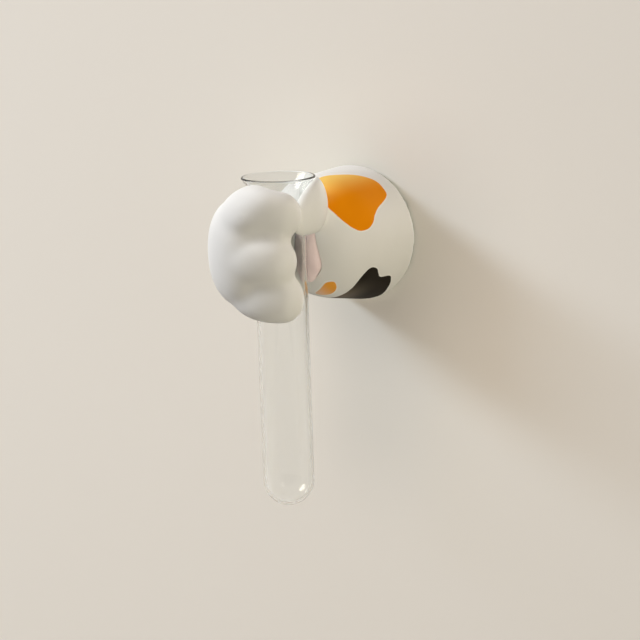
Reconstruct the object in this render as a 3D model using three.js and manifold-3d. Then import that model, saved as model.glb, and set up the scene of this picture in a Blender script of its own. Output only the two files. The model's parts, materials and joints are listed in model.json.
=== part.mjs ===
// Wall hanging vase: a cat's forearm in cast resin whose curled paw holds a flared glass tube.
// Millimetres. The wall is the plane y = 0 and the vase stands out from it along -Y, +Z is up and
// +X is to the right for someone who faces the wall. The origin is on the wall, on the stud's axis.

import * as THREE from 'three';
import { mergeVertices } from 'three/addons/utils/BufferGeometryUtils.js';
import Module from 'manifold-3d';

const wasm = await Module();
wasm.setup();

// Fits shared by several pieces
const FIT = 0.3;                   // gap between two pieces that seat on each other
const TUBE_PLAY = 0.9;             // gap all round between the glass and the casting's grip
const SLIDE_GAP = 0.6;             // gap between the wall plate and the screw heads that pass it

// Glass tube
const TUBE_DIAMETER = 25;
const TUBE_WALL = 1.4;
const TUBE_LENGTH = 163;
const RIM_DIAMETER = 35.6;
const FLARE_HEIGHT = 11.5;
const FLARE_CURVE = 1.7;           // 1 is a straight cone, more is a trumpet mouth
const TUBE_REACH = 68;             // from the wall to the tube's axis
const RIM_HEIGHT = 30;             // rim above the stud

// Forearm
const ARM_DROP = 8;                // centre of the arm's wall end below the stud
const ARM_BASE_DIAMETER = 69.2;
const ARM_FRONT_DIAMETER = 56.6;
const ARM_RISE = 5;                // how far the arm's axis climbs between the wall and the palm
const WALL_STANDOFF = 1.2;         // from the wall to the casting's rear rim
const PALM_ROUND = 26;             // length of the rounded palm end of the arm
const PALM_SQUARENESS = 2.4;       // 2 is an elliptic palm, more is a flatter one

// Hand, toes and thumb, which curl round the tube. Angles are in degrees round the tube's axis,
// from straight out from the wall towards +X. Heights are above the centre of the arm's wall end.
const GRIP_BITE = 0.6;             // depth to which the grip's bore cuts into toes and thumb
const HAND_SQUARENESS = 2.3;       // 2 is an elliptic cross-section
const TOE_SQUARENESS = 2.2;
const THUMB_SQUARENESS = 1.75;
const HAND = {
  height: 3.2,
  tall: 54,
  rootHeight: 0,
  rootTall: 46,
  root: -160,
  knuckles: -15,
  tipLength: 13,
};
const HAND_REACH = 21.4;           // from the bore to the outside of the hand
const HAND_CORE = 4;               // from the bore to the widest part of the hand's cross-section
const HAND_INSIDE = 8;             // how far the hand is filled behind its widest part
const TOE_ROOT = -70;
const KNUCKLE_ANGLE = 8;
const KNUCKLE_SPREAD = 24;         // angle over which a knuckle swells
const TILT_START = -8;             // a tilted toe turns over from here to the angle below
const TILT_END = 30;
const UPPER_TOE = {
  rootHeight: 12.5,
  bowHeight: 31.5,
  tipHeight: 22.5,
  rootTall: 20,
  tipTall: 23.5,
  rootThick: 17,
  tipThick: 19.5,
  knuckleSwell: 2,
  rootTilt: 0.35,
  tipTilt: -0.2,
  tip: 35.5,
};
const MIDDLE_TOE = {
  rootHeight: 1.5,
  bowHeight: 1,
  tipHeight: 1.8,
  rootTall: 24,
  tipTall: 24,
  rootThick: 21,
  tipThick: 22,
  knuckleSwell: 0.5,
  tip: 26.5,
};
const LOWER_TOE = {
  rootHeight: -8.5,
  bowHeight: -19.5,
  tipHeight: -16.4,
  rootTall: 16,
  tipTall: 24,
  rootThick: 12.5,
  tipThick: 19,
  tip: 36.5,
};
const THUMB = { height: 24, tall: 26, thick: 10.5, root: 158, tip: 95, tipLength: 12 };
const THUMB_LEAN = 20;             // how far the thumb's top edge lies behind its middle, in degrees

// Silicone pads, one behind the glass in each toe and in the thumb, and a large one in the palm
const PAD_DEPTH = 2.4;             // depth of a pad's pocket below the bore
const PAD_BELOW_FLARE = 1.5;       // least distance from a pad up to the start of the flare
const UPPER_PAD = { angle: 8, wide: 13, tall: 9 };
const MIDDLE_PAD = { angle: 4, wide: 14, tall: 13 };
const LOWER_PAD = { angle: 8, wide: 13, tall: 11 };
const THUMB_PAD = { angle: 92, wide: 9, tall: 9 };
const PALM_PAD_WIDE = 14;
const PALM_PAD_TALL = 29;
const PALM_PAD_DEPTH = 11;
const PALM_PAD_SIDE = 5;           // to the right of the arm's centre
const PALM_PAD_HEIGHT = -1.5;      // above the arm's centre
const PALM_PAD_PROUD = 1.5;        // how far the uncut pad would reach into the glass

// Back of the casting
const REAR_WALL = 5.8;             // width of the rear rim
const LEDGE_WALL = 1.2;            // casting left between a cover screw's hole and the cavity
const COVER_THICK = 2.5;
const CAVITY_END = 20;             // casting left solid between the cavity and the tube
const KEYHOLE_THICK = 1.2;
const KEYHOLE_WIDE = 30;
const KEYHOLE_BORDER = 7;          // plate beyond the ends of the keyhole
const HANG_TRAVEL = 10;            // lift that frees the stud's head
const BUMPER_DIAMETER = 4.4;
const BUMPER_COUNT = 3;

// Screws of the cover and of the keyhole plate
const SCREW_DIAMETER = 2.4;
const SCREW_HEAD_DIAMETER = 4.4;
const SCREW_HEAD_HEIGHT = 1.1;
const COVER_SCREW_LENGTH = 9;
const COVER_SCREW_COUNT = 3;
const KEYHOLE_SCREW_LENGTH = 5;

// Wall side
const ADHESIVE_THICK = 1;
const PLATE_THICK = 2.4;
const PLATE_MARGIN = 4.5;          // least gap between the wall plate's edge and the recess
const STUD_SHANK_DIAMETER = 4;
const STUD_HEAD_DIAMETER = 8;
const STUD_HEAD_HEIGHT = 1.6;
const STUD_FLANGE_DIAMETER = 10;
const STUD_FLANGE_HEIGHT = 1;

// Facets
const ROUND_SIDES = 40;
const SMALL_SIDES = 14;
const CURL_SIDES = 20;
const CURL_STEPS = 9;
const TIP_STEPS = 4;
const PALM_STEPS = 7;
const FLARE_STEPS = 6;
const BOTTOM_STEPS = 6;
const TIP_BLUNTNESS = 0.4;         // of a step, the flat left at a round tip

// Sizes that follow from the ones above
const tubeRadius = TUBE_DIAMETER / 2;
const rimRadius = RIM_DIAMETER / 2;
const boreRadius = tubeRadius + TUBE_PLAY;
const tubeY = -TUBE_REACH;
const armZ = -ARM_DROP;
const armBaseRadius = ARM_BASE_DIAMETER / 2;
const armFrontRadius = ARM_FRONT_DIAMETER / 2;
const rimRearY = -WALL_STANDOFF;
const palmY = tubeY + boreRadius;
const recessRadius = armBaseRadius - REAR_WALL;
const coverScrewRadius = recessRadius - SCREW_HEAD_DIAMETER / 2 - 2 * FIT;
const cavityRadius = coverScrewRadius - SCREW_DIAMETER / 2 - FIT - LEDGE_WALL;
const plateRadius = recessRadius - ARM_DROP - PLATE_MARGIN;
const plateRearY = -ADHESIVE_THICK - FIT;
const plateFrontY = plateRearY - PLATE_THICK;
const keyholeRearY = plateFrontY - SLIDE_GAP - SCREW_HEAD_HEIGHT - FIT;
const keyholeFrontY = keyholeRearY - KEYHOLE_THICK;
const coverRearY = keyholeFrontY - FIT;
const coverFrontY = coverRearY - COVER_THICK;
const ledgeY = coverFrontY - FIT;
const cavityEndY = tubeY + CAVITY_END + boreRadius;
const studHeadY = keyholeFrontY - FIT;
const studEndY = studHeadY - STUD_HEAD_HEIGHT;
const studRadius = STUD_SHANK_DIAMETER / 2;
const studHeadRadius = STUD_HEAD_DIAMETER / 2;
const slotHalf = studRadius + FIT;
const headHoleRadius = studHeadRadius + 2 * FIT;
const flareStartZ = RIM_HEIGHT - FLARE_HEIGHT;
const lipZ = RIM_HEIGHT - TUBE_WALL / 2;
const tubeBottomZ = RIM_HEIGHT - TUBE_LENGTH;
const padInnerRadius = tubeRadius + FIT;
const padOuterRadius = boreRadius + PAD_DEPTH;

const toes = [UPPER_TOE, MIDDLE_TOE, LOWER_TOE];
const pads = [
  { name: 'toe_pad_upper', digit: UPPER_TOE, ...UPPER_PAD },
  { name: 'toe_pad_middle', digit: MIDDLE_TOE, ...MIDDLE_PAD },
  { name: 'toe_pad_lower', digit: LOWER_TOE, ...LOWER_PAD },
  { name: 'thumb_pad', digit: THUMB, ...THUMB_PAD },
];

// Solid modelling helpers

function toSolid(geometry) {
  const bare = geometry.clone();
  bare.deleteAttribute('normal');
  bare.deleteAttribute('uv');
  const merged = mergeVertices(bare, 1e-4);
  const corners = merged.index.array;
  const triangles = [];
  for (let i = 0; i < corners.length; i += 3) {
    const [a, b, c] = [corners[i], corners[i + 1], corners[i + 2]];
    if (a !== b && b !== c && c !== a) triangles.push(a, b, c);
  }
  const mesh = new wasm.Mesh({
    numProp: 3,
    vertProperties: new Float32Array(merged.attributes.position.array),
    triVerts: new Uint32Array(triangles),
  });
  return new wasm.Manifold(mesh);
}

function toGeometry(solid) {
  const mesh = solid.getMesh();
  const geometry = new THREE.BufferGeometry();
  geometry.setAttribute('position', new THREE.BufferAttribute(mesh.vertProperties, mesh.numProp));
  geometry.setIndex(new THREE.BufferAttribute(mesh.triVerts, 1));
  geometry.computeVertexNormals();
  return geometry;
}

function point(x, y) {
  return new THREE.Vector2(x, y);
}

// A closed skin over a row of rings that all have the same number of points.
function loft(rings) {
  const sides = rings[0].length;
  const positions = [];
  const centreOf = (ring) => ring.reduce((sum, p) => sum.add(p), new THREE.Vector3()).divideScalar(sides);
  for (const p of rings.flat()) positions.push(p.x, p.y, p.z);
  const first = centreOf(rings[0]);
  const last = centreOf(rings[rings.length - 1]);
  positions.push(first.x, first.y, first.z, last.x, last.y, last.z);
  const firstIndex = rings.length * sides;
  const lastRing = (rings.length - 1) * sides;
  const index = [];
  for (let s = 0; s < sides; s += 1) {
    const t = (s + 1) % sides;
    index.push(firstIndex, t, s);
    index.push(firstIndex + 1, lastRing + s, lastRing + t);
    for (let r = 0; r < rings.length - 1; r += 1) {
      const here = r * sides;
      const next = here + sides;
      index.push(here + s, here + t, next + t);
      index.push(here + s, next + t, next + s);
    }
  }
  const geometry = new THREE.BufferGeometry();
  geometry.setAttribute('position', new THREE.Float32BufferAttribute(positions, 3));
  geometry.setIndex(index);
  return geometry;
}

// A body turned about the Y axis. The outline runs from its front end to its wall end.
function turned(outline, sides = ROUND_SIDES) {
  return new THREE.LatheGeometry(outline, sides);
}

// A body turned about the Z axis through the tube. The outline runs from bottom to top.
function turnedOnTube(outline) {
  const geometry = new THREE.LatheGeometry(outline, ROUND_SIDES);
  geometry.rotateX(Math.PI / 2);
  geometry.translate(0, tubeY, 0);
  return geometry;
}

function disc(radius, frontY, rearY, sides = ROUND_SIDES) {
  return turned([point(0, frontY), point(radius, frontY), point(radius, rearY), point(0, rearY)], sides);
}

// A flat outline in X and Z, given as x and y of a shape, thickened from frontY to rearY.
function slab(shape, frontY, rearY) {
  const geometry = new THREE.ExtrudeGeometry(shape, {
    depth: rearY - frontY,
    bevelEnabled: false,
    curveSegments: SMALL_SIDES / 2,
  });
  geometry.rotateX(Math.PI / 2);
  geometry.translate(0, rearY, 0);
  return geometry;
}

function superellipse(angle, squareness) {
  const power = 2 / squareness;
  const c = Math.cos(angle);
  const s = Math.sin(angle);
  return [Math.sign(c) * Math.abs(c) ** power, Math.sign(s) * Math.abs(s) ** power];
}

// Glass tube

function flareRadius(z) {
  const climb = THREE.MathUtils.clamp((z - flareStartZ) / (lipZ - flareStartZ), 0, 1);
  return tubeRadius + (rimRadius - tubeRadius) * climb ** FLARE_CURVE;
}

function flareOutline(offset) {
  const outline = [];
  for (let i = 0; i <= FLARE_STEPS; i += 1) {
    const z = THREE.MathUtils.lerp(flareStartZ, lipZ, i / FLARE_STEPS);
    outline.push(point(flareRadius(z) + offset, z));
  }
  return outline;
}

function tubeBottomOutline(radius, centreZ) {
  const outline = [];
  for (let i = 0; i <= BOTTOM_STEPS; i += 1) {
    const angle = (Math.PI / 2) * (i / BOTTOM_STEPS);
    outline.push(point(i === 0 ? 0 : radius * Math.sin(angle), centreZ - radius * Math.cos(angle)));
  }
  return outline;
}

function glassTube() {
  const roundZ = tubeBottomZ + tubeRadius;
  const outside = [...tubeBottomOutline(tubeRadius, roundZ), ...flareOutline(0)];
  const lip = [point(rimRadius - TUBE_WALL / 2, RIM_HEIGHT)];
  const inside = [
    ...tubeBottomOutline(tubeRadius - TUBE_WALL, roundZ),
    ...flareOutline(-TUBE_WALL),
  ].reverse();
  return turnedOnTube([...outside, ...lip, ...inside]);
}

// Forearm and paw

function armRadius(y) {
  const share = (rimRearY - y) / (rimRearY - palmY);
  return armBaseRadius + (armFrontRadius - armBaseRadius) * share;
}

function armAxisZ(y) {
  return armZ + ARM_RISE * ((rimRearY - y) / (rimRearY - palmY));
}

function armRing(y, radius) {
  const ring = [];
  for (let s = 0; s < ROUND_SIDES; s += 1) {
    const angle = (2 * Math.PI * s) / ROUND_SIDES;
    ring.push(new THREE.Vector3(radius * Math.cos(angle), y, armAxisZ(y) + radius * Math.sin(angle)));
  }
  return ring;
}

function arm() {
  const roundStart = palmY + PALM_ROUND;
  const middleY = (rimRearY + roundStart) / 2;
  const rings = [armRing(rimRearY, armRadius(rimRearY)), armRing(middleY, armRadius(middleY))];
  for (let i = 0; i < PALM_STEPS; i += 1) {
    const angle = (Math.PI / 2) * (i / PALM_STEPS);
    const [narrow, along] = superellipse(angle, PALM_SQUARENESS);
    const y = roundStart - PALM_ROUND * along;
    rings.push(armRing(y, armRadius(y) * narrow));
  }
  return loft(rings);
}

// One ring of a curled body, across its curl at the given angle. A share below 1 shrinks it. A lean
// turns its top edge on and its bottom edge back by that many degrees, and a tilt slopes the ring so
// that its bottom edge stands further from the tube than its top edge.
function curlRing(angle, section, share) {
  const { curl, inward, outward, height, tall, squareness, lean = 0, tilt = 0 } = section;
  const ring = [];
  for (let s = 0; s < CURL_SIDES; s += 1) {
    const [across, up] = superellipse((2 * Math.PI * s) / CURL_SIDES, squareness);
    const turn = THREE.MathUtils.degToRad(angle + lean * share * up);
    const climb = (share * up * tall) / 2;
    const radius = curl + share * across * (across > 0 ? outward : inward) - tilt * climb;
    const z = armZ + height + climb;
    ring.push(new THREE.Vector3(radius * Math.sin(turn), tubeY - radius * Math.cos(turn), z));
  }
  return ring;
}

// A body that curls round the tube from a flat root to a round tip of the given length.
function curledBody(sectionAt, root, tip, tipLength) {
  const direction = Math.sign(tip - root);
  const rings = [];
  for (let i = 0; i <= CURL_STEPS; i += 1) {
    const angle = THREE.MathUtils.lerp(root, tip, i / CURL_STEPS);
    rings.push(curlRing(angle, sectionAt(angle), 1));
  }
  const end = sectionAt(tip);
  for (let i = 1; i <= TIP_STEPS; i += 1) {
    const roundOff = (Math.PI / 2) * (i / (TIP_STEPS + TIP_BLUNTNESS));
    const forward = THREE.MathUtils.radToDeg((tipLength * Math.sin(roundOff)) / end.curl);
    rings.push(curlRing(tip + direction * forward, end, Math.cos(roundOff)));
  }
  if (direction > 0) rings.reverse();
  return toSolid(loft(rings));
}

function hand() {
  const sectionAt = (angle) => {
    const share = THREE.MathUtils.smoothstep(angle, HAND.root, HAND.knuckles);
    return {
      curl: boreRadius + HAND_CORE,
      inward: HAND_INSIDE,
      outward: HAND_REACH - HAND_CORE,
      height: THREE.MathUtils.lerp(HAND.rootHeight, HAND.height, share),
      tall: THREE.MathUtils.lerp(HAND.rootTall, HAND.tall, share),
      squareness: HAND_SQUARENESS,
    };
  };
  return curledBody(sectionAt, HAND.root, HAND.knuckles, HAND.tipLength);
}

// The cross-section of a toe or thumb whose inside the bore trims to the glass.
function gripSection(height, tall, thick, squareness) {
  const half = thick / 2;
  return { curl: boreRadius - GRIP_BITE + half, inward: half, outward: half, height, tall, squareness };
}

// A toe leaves the knuckles at its root height and bows up or down on its way to the tip.
function toeHeight({ rootHeight, bowHeight, tipHeight, tip }, angle) {
  const { lerp } = THREE.MathUtils;
  const share = (angle - TOE_ROOT) / (tip - TOE_ROOT);
  return lerp(lerp(rootHeight, bowHeight, share), lerp(bowHeight, tipHeight, share), share);
}

function toe(shape) {
  const { lerp, mapLinear, smoothstep } = THREE.MathUtils;
  const { rootTall, tipTall, rootThick, tipThick, tip } = shape;
  const { knuckleSwell = 0, rootTilt = 0, tipTilt = 0 } = shape;
  const sectionAt = (angle) => {
    const tall = mapLinear(angle, TOE_ROOT, tip, rootTall, tipTall);
    const knuckle = Math.exp(-(((angle - KNUCKLE_ANGLE) / KNUCKLE_SPREAD) ** 2));
    const thick = mapLinear(angle, TOE_ROOT, tip, rootThick, tipThick) + knuckleSwell * knuckle;
    const tilt = lerp(rootTilt, tipTilt, smoothstep(angle, TILT_START, TILT_END));
    return { ...gripSection(toeHeight(shape, angle), tall, thick, TOE_SQUARENESS), tilt };
  };
  return curledBody(sectionAt, TOE_ROOT, tip, tipThick / 2);
}

function thumb() {
  const section = gripSection(THUMB.height, THUMB.tall, THUMB.thick, THUMB_SQUARENESS);
  const leaning = { ...section, lean: THUMB_LEAN };
  return curledBody(() => leaning, THUMB.root, THUMB.tip, THUMB.tipLength);
}

// The space that the glass needs: the bore of the grip and the seat under the flare.
function gripSpace() {
  const high = RIM_HEIGHT + FLARE_HEIGHT;
  const seat = flareOutline(FIT);
  for (const place of seat) place.x = Math.max(place.x, boreRadius);
  const outline = [point(0, tubeBottomZ), point(boreRadius, tubeBottomZ), ...seat];
  outline.push(point(rimRadius + FIT, high), point(0, high));
  return toSolid(turnedOnTube(outline));
}

// A pad sits at the middle of its toe, or lower where the flare's seat needs the room.
function padZ({ digit, angle, tall }) {
  const middle = digit === THUMB ? THUMB.height : toeHeight(digit, angle);
  return Math.min(armZ + middle, flareStartZ - PAD_BELOW_FLARE - tall / 2);
}

// A pad's outline pushed straight out from the tube's axis.
function padBlock(pad, grow, reach) {
  const outline = new THREE.Shape();
  outline.absellipse(0, 0, pad.wide / 2 + grow, pad.tall / 2 + grow, 0, 2 * Math.PI);
  const geometry = new THREE.ExtrudeGeometry(outline, {
    depth: reach,
    bevelEnabled: false,
    curveSegments: SMALL_SIDES,
  });
  geometry.rotateX(Math.PI / 2);
  geometry.rotateZ(THREE.MathUtils.degToRad(pad.angle));
  geometry.translate(0, tubeY, padZ(pad));
  return toSolid(geometry);
}

function tubeCylinder(radius) {
  const outline = [
    point(0, tubeBottomZ),
    point(radius, tubeBottomZ),
    point(radius, RIM_HEIGHT),
    point(0, RIM_HEIGHT),
  ];
  return toSolid(turnedOnTube(outline));
}

function digitPad(pad) {
  const block = padBlock(pad, 0, padOuterRadius + PAD_DEPTH);
  return block.intersect(tubeCylinder(padOuterRadius)).subtract(tubeCylinder(padInnerRadius));
}

function digitPadPocket(pad) {
  const block = padBlock(pad, FIT, padOuterRadius + PAD_DEPTH);
  return block.intersect(tubeCylinder(padOuterRadius + FIT));
}

function palmPadBody(grow) {
  const geometry = new THREE.SphereGeometry(1, ROUND_SIDES / 2, SMALL_SIDES);
  geometry.scale(PALM_PAD_WIDE / 2 + grow, PALM_PAD_DEPTH / 2 + grow, PALM_PAD_TALL / 2 + grow);
  const centreY = tubeY + tubeRadius - PALM_PAD_PROUD + PALM_PAD_DEPTH / 2;
  geometry.translate(PALM_PAD_SIDE, centreY, armZ + PALM_PAD_HEIGHT);
  return toSolid(geometry);
}

function palmPad() {
  return palmPadBody(0).subtract(tubeCylinder(padInnerRadius));
}

// Places of what repeats round the arm's wall end

function aroundArm(count, radius, startAngle) {
  const places = [];
  for (let i = 0; i < count; i += 1) {
    const angle = startAngle + (2 * Math.PI * i) / count;
    places.push([radius * Math.cos(angle), armZ + radius * Math.sin(angle)]);
  }
  return places;
}

const coverScrewPlaces = aroundArm(COVER_SCREW_COUNT, coverScrewRadius, Math.PI / 2);
const bumperPlaces = aroundArm(BUMPER_COUNT, armBaseRadius - REAR_WALL / 2, -Math.PI / 2);
const keyholeMiddleZ = -HANG_TRAVEL / 2;
const keyholeHalfTall = HANG_TRAVEL / 2 + headHoleRadius + KEYHOLE_BORDER;
const keyholeScrewX = (KEYHOLE_WIDE / 2 + headHoleRadius) / 2 + FIT;
const keyholeScrewPlaces = [[-keyholeScrewX, keyholeMiddleZ], [keyholeScrewX, keyholeMiddleZ]];

function screwHole(x, z, rearY, length) {
  const hole = disc(SCREW_DIAMETER / 2 + FIT, rearY - length - FIT, rearY + FIT, SMALL_SIDES);
  return toSolid(hole.translate(x, 0, z));
}

function cavity() {
  const rings = [armRing(cavityEndY, cavityRadius), armRing(ledgeY + FIT, cavityRadius)];
  return toSolid(loft(rings.reverse()));
}

function pawCasting() {
  let casting = toSolid(arm());
  casting = casting.add(hand()).add(thumb());
  for (const shape of toes) casting = casting.add(toe(shape));
  casting = casting.subtract(gripSpace());
  for (const pad of pads) casting = casting.subtract(digitPadPocket(pad));
  casting = casting.subtract(palmPadBody(FIT));
  casting = casting.subtract(toSolid(disc(recessRadius, ledgeY, 0).translate(0, 0, armZ)));
  casting = casting.subtract(cavity());
  for (const [x, z] of coverScrewPlaces) {
    casting = casting.subtract(screwHole(x, z, coverRearY, COVER_SCREW_LENGTH));
  }
  return casting;
}

// Back cover and hanging hardware

function slotShape(radius, topZ, bottomZ) {
  const shape = new THREE.Shape();
  shape.absarc(0, topZ, radius, 0, Math.PI, false);
  shape.absarc(0, bottomZ, radius, Math.PI, 2 * Math.PI, false);
  return shape;
}

// The slot in which the stud's shank stands at rest, opening into the hole that passes its head.
function keyholeOpening() {
  const slot = toSolid(slab(slotShape(slotHalf, 0, -HANG_TRAVEL), keyholeFrontY - FIT, keyholeRearY + FIT));
  const headHole = disc(headHoleRadius, keyholeFrontY - FIT, keyholeRearY + FIT);
  return slot.add(toSolid(headHole.translate(0, 0, -HANG_TRAVEL)));
}

function roundedPlate(halfWide, halfTall, corner) {
  const shape = new THREE.Shape();
  shape.absarc(halfWide - corner, -halfTall + corner, corner, -Math.PI / 2, 0, false);
  shape.absarc(halfWide - corner, halfTall - corner, corner, 0, Math.PI / 2, false);
  shape.absarc(-halfWide + corner, halfTall - corner, corner, Math.PI / 2, Math.PI, false);
  shape.absarc(-halfWide + corner, -halfTall + corner, corner, Math.PI, 1.5 * Math.PI, false);
  return shape;
}

function keyholePlate() {
  const outline = roundedPlate(KEYHOLE_WIDE / 2, keyholeHalfTall, KEYHOLE_BORDER / 2);
  let plate = toSolid(slab(outline, keyholeFrontY, keyholeRearY).translate(0, 0, keyholeMiddleZ));
  plate = plate.subtract(keyholeOpening());
  for (const [x, z] of keyholeScrewPlaces) {
    plate = plate.subtract(screwHole(x, z, keyholeRearY, KEYHOLE_THICK));
  }
  return plate;
}

function backCover() {
  let cover = toSolid(disc(recessRadius - FIT, coverFrontY, coverRearY).translate(0, 0, armZ));
  const headRoom = slotShape(headHoleRadius, 0, -HANG_TRAVEL);
  cover = cover.subtract(toSolid(slab(headRoom, coverFrontY - FIT, coverRearY + FIT)));
  for (const [x, z] of coverScrewPlaces) {
    cover = cover.subtract(screwHole(x, z, coverRearY, COVER_THICK));
  }
  for (const [x, z] of keyholeScrewPlaces) {
    cover = cover.subtract(screwHole(x, z, coverRearY, COVER_THICK));
  }
  return cover;
}

// A pan-head screw whose head lies against the face at seatY.
function screw(seatY, length) {
  const headTop = seatY + FIT + SCREW_HEAD_HEIGHT;
  const shank = SCREW_DIAMETER / 2;
  const head = SCREW_HEAD_DIAMETER / 2;
  const outline = [
    point(0, seatY - length),
    point(shank, seatY - length),
    point(shank, seatY + FIT),
    point(head, seatY + FIT),
    point(head, headTop - SCREW_HEAD_HEIGHT / 2),
    point(head - SCREW_HEAD_HEIGHT / 2, headTop),
    point(0, headTop),
  ];
  return turned(outline, SMALL_SIDES);
}

function bumper() {
  const radius = BUMPER_DIAMETER / 2;
  const front = rimRearY + FIT;
  const chamfer = -front / 2;
  const outline = [
    point(0, front),
    point(radius, front),
    point(radius, front + chamfer),
    point(radius - chamfer, 0),
    point(0, 0),
  ];
  return turned(outline, SMALL_SIDES);
}

// Wall side

function studOutline(grow) {
  const flange = STUD_FLANGE_DIAMETER / 2 + grow;
  const shank = studRadius + grow;
  const flangeY = plateRearY - STUD_FLANGE_HEIGHT;
  return [point(shank, flangeY - grow), point(flange, flangeY - grow), point(flange, plateRearY)];
}

function hangingStud() {
  const headEdge = STUD_HEAD_HEIGHT / 2;
  const outline = [
    point(0, studEndY),
    point(studHeadRadius - headEdge, studEndY),
    point(studHeadRadius, studEndY + headEdge),
    point(studHeadRadius, studHeadY),
    point(studRadius, studHeadY),
    ...studOutline(0),
    point(0, plateRearY),
  ];
  return turned(outline, 2 * SMALL_SIDES);
}

function wallPlate() {
  const edge = PLATE_THICK / 3;
  const outline = [
    point(0, plateFrontY),
    point(plateRadius - edge, plateFrontY),
    point(plateRadius, plateFrontY + edge),
    point(plateRadius, plateRearY),
    point(0, plateRearY),
  ];
  const [throat, shoulder, flange] = studOutline(FIT);
  const socket = [
    point(0, plateFrontY - FIT),
    point(throat.x, plateFrontY - FIT),
    throat,
    shoulder,
    point(flange.x, plateRearY + FIT),
    point(0, plateRearY + FIT),
  ];
  return toSolid(turned(outline)).subtract(toSolid(turned(socket, 2 * SMALL_SIDES)));
}

// Assembly

const finishes = {
  resin: { color: 0xe6e2d8, roughness: 0.55, metalness: 0 },
  silicone: { color: 0xdfb4ab, roughness: 0.6, metalness: 0 },
  glass: { color: 0xdde6e4, roughness: 0.05, metalness: 0, transparent: true, opacity: 0.35 },
  steel: { color: 0x9a9c9e, roughness: 0.35, metalness: 1 },
  plastic: { color: 0xece9e2, roughness: 0.5, metalness: 0 },
  rubber: { color: 0xbfc2c0, roughness: 0.8, metalness: 0 },
  foam: { color: 0xf4f2ec, roughness: 0.95, metalness: 0 },
};

function piece(name, shape, finish) {
  const geometry = shape.isBufferGeometry ? shape : toGeometry(shape);
  const mesh = new THREE.Mesh(geometry, new THREE.MeshStandardMaterial(finishes[finish]));
  mesh.name = name;
  return mesh;
}

// One named copy of a piece at each place, numbered from 1.
function copies(name, makeShape, finish, places) {
  return places.map(([x, z], i) => {
    const copy = piece(`${name}_${i + 1}`, makeShape(), finish);
    copy.position.set(x, 0, z);
    return copy;
  });
}

const keyholeScrew = () => screw(keyholeRearY, KEYHOLE_SCREW_LENGTH);
const coverScrew = () => screw(coverRearY, COVER_SCREW_LENGTH);

const wallMount = new THREE.Group();
wallMount.add(piece('adhesive_pad', disc(plateRadius, -ADHESIVE_THICK, 0), 'foam'));
wallMount.add(piece('wall_plate', wallPlate(), 'plastic'));
wallMount.add(piece('hanging_stud', hangingStud(), 'steel'));

const paw = new THREE.Group();
paw.add(piece('paw_casting', pawCasting(), 'resin'));
paw.add(piece('palm_pad', palmPad(), 'silicone'));
for (const pad of pads) paw.add(piece(pad.name, digitPad(pad), 'silicone'));
paw.add(piece('back_cover', backCover(), 'plastic'));
paw.add(piece('keyhole_plate', keyholePlate(), 'steel'));
paw.add(...copies('keyhole_screw', keyholeScrew, 'steel', keyholeScrewPlaces));
paw.add(...copies('cover_screw', coverScrew, 'steel', coverScrewPlaces));
paw.add(...copies('bumper', bumper, 'rubber', bumperPlaces));

const vase = new THREE.Group();
vase.add(wallMount, paw, piece('glass_tube', glassTube(), 'glass'));

export default vase;
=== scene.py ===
"""Looks of a wall hanging vase: a cat's forearm in painted resin whose paw grips a flared glass tube.

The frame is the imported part's: the wall is the plane y = 0, the arm stands out along -Y and +Z is up.
Shapes are written in millimetres here, and mesh_object turns them into metres.
"""

import json
import math

import bmesh
import bpy
import numpy as np
from mathutils import Matrix, Vector


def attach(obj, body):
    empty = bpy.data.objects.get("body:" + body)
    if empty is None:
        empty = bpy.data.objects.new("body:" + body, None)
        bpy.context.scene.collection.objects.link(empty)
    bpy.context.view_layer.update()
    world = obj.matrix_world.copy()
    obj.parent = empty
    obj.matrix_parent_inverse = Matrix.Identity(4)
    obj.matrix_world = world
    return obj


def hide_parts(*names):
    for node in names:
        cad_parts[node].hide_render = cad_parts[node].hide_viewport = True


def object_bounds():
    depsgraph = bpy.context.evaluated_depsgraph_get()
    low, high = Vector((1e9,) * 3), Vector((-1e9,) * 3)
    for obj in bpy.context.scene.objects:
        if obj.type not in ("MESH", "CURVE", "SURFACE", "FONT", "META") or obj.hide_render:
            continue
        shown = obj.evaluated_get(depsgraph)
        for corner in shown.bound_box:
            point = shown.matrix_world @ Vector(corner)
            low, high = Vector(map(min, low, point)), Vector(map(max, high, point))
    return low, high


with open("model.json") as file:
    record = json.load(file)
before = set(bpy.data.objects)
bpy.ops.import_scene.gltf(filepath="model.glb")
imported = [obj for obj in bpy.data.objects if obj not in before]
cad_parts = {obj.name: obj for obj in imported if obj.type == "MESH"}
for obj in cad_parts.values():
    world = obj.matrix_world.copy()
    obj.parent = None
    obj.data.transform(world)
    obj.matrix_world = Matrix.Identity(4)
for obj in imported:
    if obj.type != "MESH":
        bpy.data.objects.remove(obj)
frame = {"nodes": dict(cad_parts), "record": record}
cad_low, cad_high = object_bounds()

MM = 0.001

# Glass tube, in millimetres
FIT = 0.3
TUBE_RADIUS = 12.5
BORE_RADIUS = 13.4
TUBE_WALL = 1.4
TUBE_BOTTOM = -133.0
TUBE_Y = -68.0
RIM_RADIUS = 17.8
RIM_HEIGHT = 30.0
LIP_HEIGHT = RIM_HEIGHT - TUBE_WALL / 2
FLARE_HEIGHT = 11.5
FLARE_START = RIM_HEIGHT - FLARE_HEIGHT
FLARE_CURVE = 1.7
STRAIGHT_ABOVE_BOTTOM = 15.0
STRAIGHT_BELOW_FLARE = 4.0

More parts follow.
